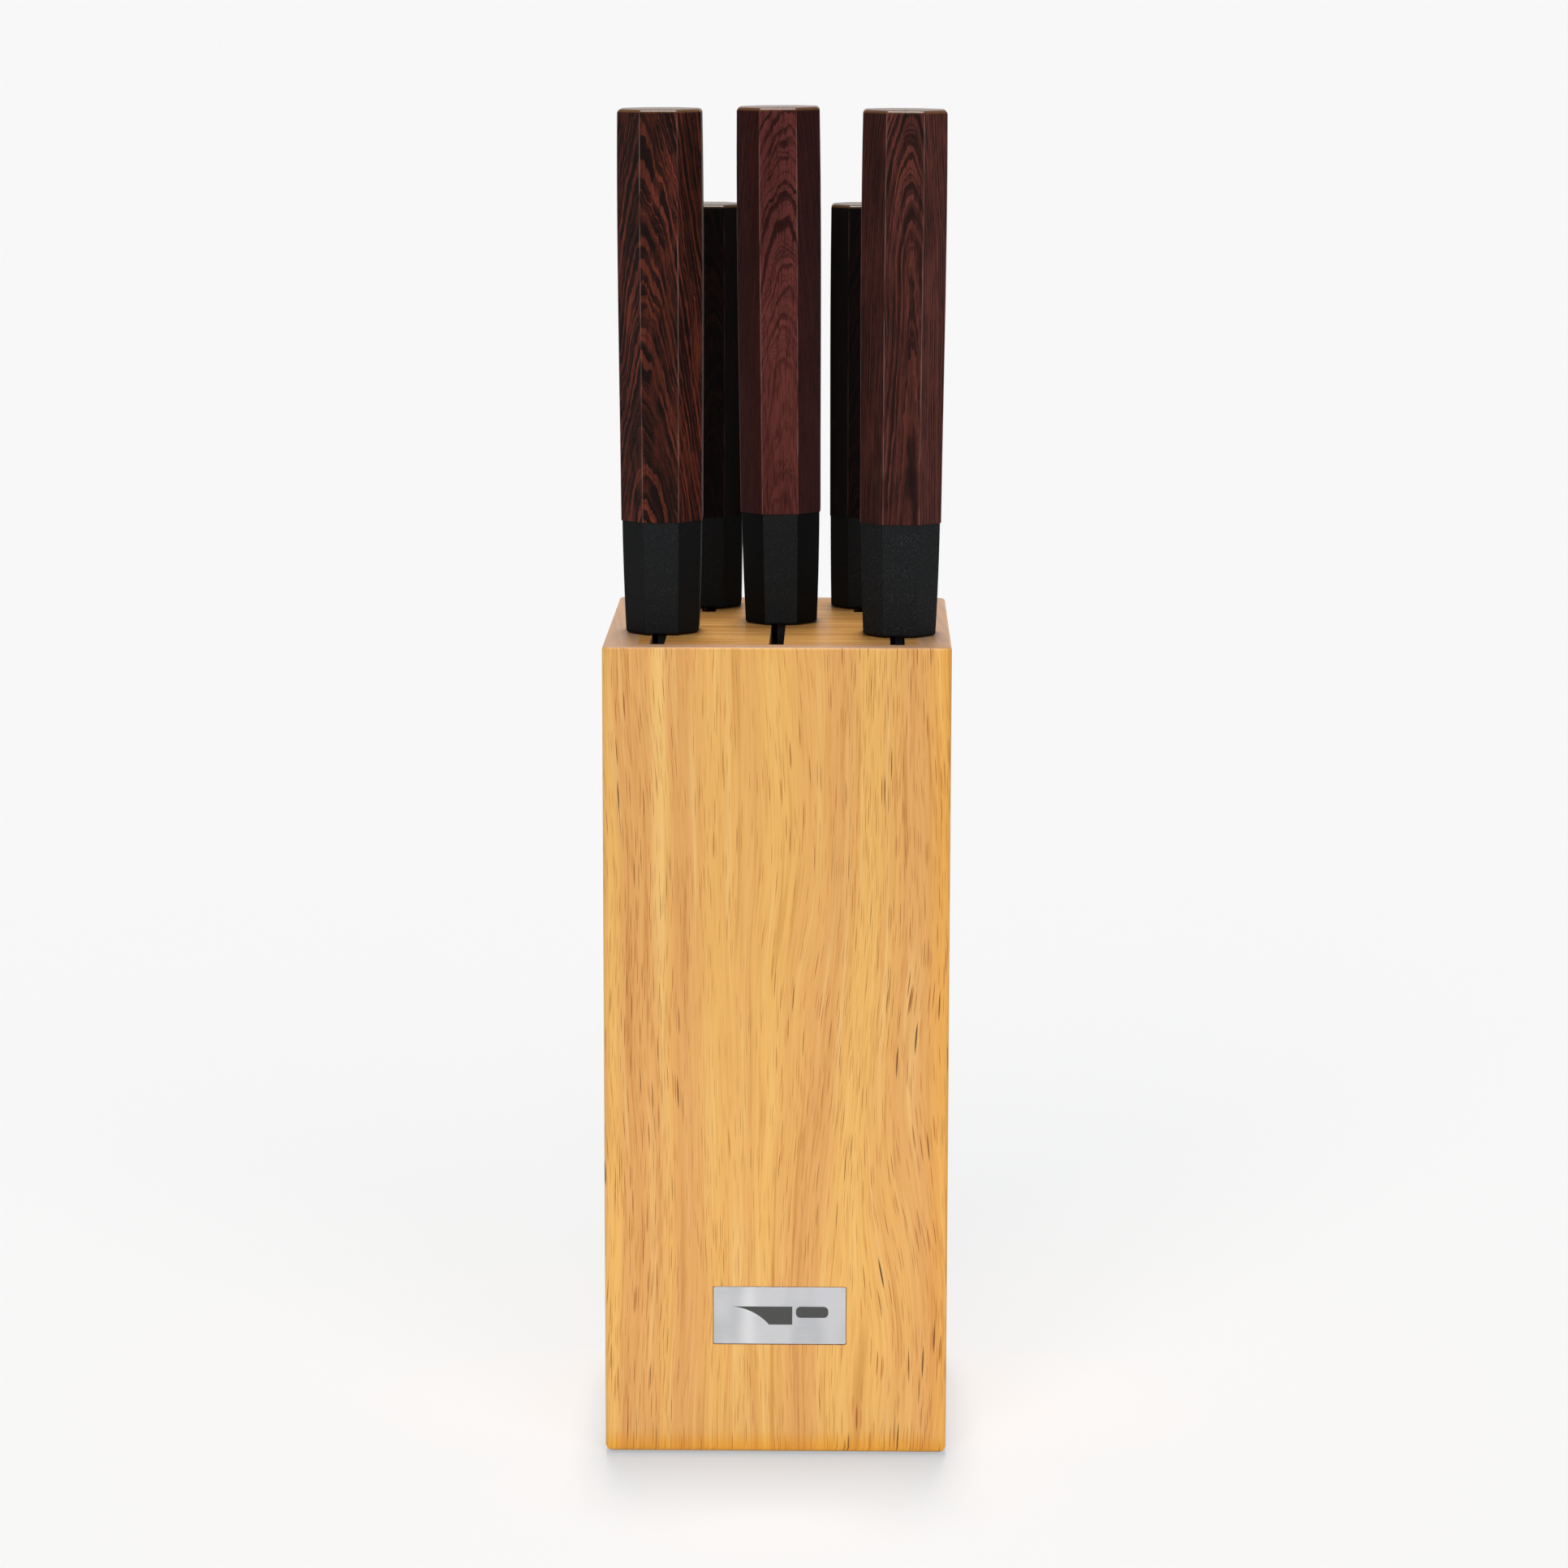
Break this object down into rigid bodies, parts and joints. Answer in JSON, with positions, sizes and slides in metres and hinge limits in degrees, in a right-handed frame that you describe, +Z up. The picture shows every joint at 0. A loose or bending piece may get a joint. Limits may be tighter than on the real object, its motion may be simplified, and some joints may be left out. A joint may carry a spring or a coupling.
{
  "type": "knife block with knives",
  "caption": "Upright wooden knife block with a slotted top, flush name plate and rubber feet, holding kitchen knives with octagonal dark wood handles and black collars.",
  "frame": {"origin": "centre of the block's footprint, in the plane of the four feet's lower faces", "axes": "+Z up out of the slots, -Y out of the front board with the name plate, +X to the right seen from the front"},
  "size_m": [0.095, 0.103, 0.3719],
  "materials": {
    "board_wood": "satin lacquered light hardwood, honey coloured, upright grain",
    "side_wood": "satin lacquered light hardwood with pinkish end grain",
    "plate_wood": "satin lacquered light hardwood, grain from side to side",
    "dowel_wood": "raw beech",
    "name_metal": "brushed",
    "name_enamel": "matte dark grey enamel",
    "pad_foam": "foam tape",
    "foot_rubber": "matte black rubber",
    "blade_coating": "satin black non-stick coating over steel",
    "collar_black": "fine textured matte black",
    "handle_wood": "satin lacquered dark rosewood"
  },
  "bodies": {
    "block": {"front_board": "board_wood", "back_board": "board_wood", "left_side_board": "side_wood", "right_side_board": "side_wood", "slotted_top_plate": "plate_wood", "blade_guide": "plate_wood", "base_board": "plate_wood", "wooden_dowels": "dowel_wood", "name_plate": "name_metal", "name_inlay": "name_enamel", "adhesive_pad": "pad_foam", "foot_front_left": "foot_rubber", "foot_front_right": "foot_rubber", "foot_rear_left": "foot_rubber", "foot_rear_right": "foot_rubber"},
    "left_front_knife": {"left_front_blade": "blade_coating", "left_front_collar": "collar_black", "left_front_handle_left_half": "handle_wood", "left_front_handle_right_half": "handle_wood"},
    "center_front_knife": {"center_front_blade": "blade_coating", "center_front_collar": "collar_black", "center_front_handle_left_half": "handle_wood", "center_front_handle_right_half": "handle_wood"},
    "right_front_knife": {"right_front_blade": "blade_coating", "right_front_collar": "collar_black", "right_front_handle_left_half": "handle_wood", "right_front_handle_right_half": "handle_wood"},
    "left_rear_knife": {"left_rear_blade": "blade_coating", "left_rear_collar": "collar_black", "left_rear_handle_left_half": "handle_wood", "left_rear_handle_right_half": "handle_wood"},
    "right_rear_knife": {"right_rear_blade": "blade_coating", "right_rear_collar": "collar_black", "right_rear_handle_left_half": "handle_wood", "right_rear_handle_right_half": "handle_wood"}
  },
  "joints": [
    {"name": "left_front_draw", "type": "slide", "parent": "block", "child": "left_front_knife", "axis": [-0.0035, 0, 1], "range_m": [0, 0.215]},
    {"name": "center_front_draw", "type": "slide", "parent": "block", "child": "center_front_knife", "axis": [-0.0077, 0, 1], "range_m": [0, 0.215]},
    {"name": "right_front_draw", "type": "slide", "parent": "block", "child": "right_front_knife", "axis": [0.0058, 0, 1], "range_m": [0, 0.215]},
    {"name": "left_rear_draw", "type": "slide", "parent": "block", "child": "left_rear_knife", "axis": [0, 0, 1], "range_m": [0, 0.145]},
    {"name": "right_rear_draw", "type": "slide", "parent": "block", "child": "right_rear_knife", "axis": [0, 0, 1], "range_m": [0, 0.105]}
  ]
}
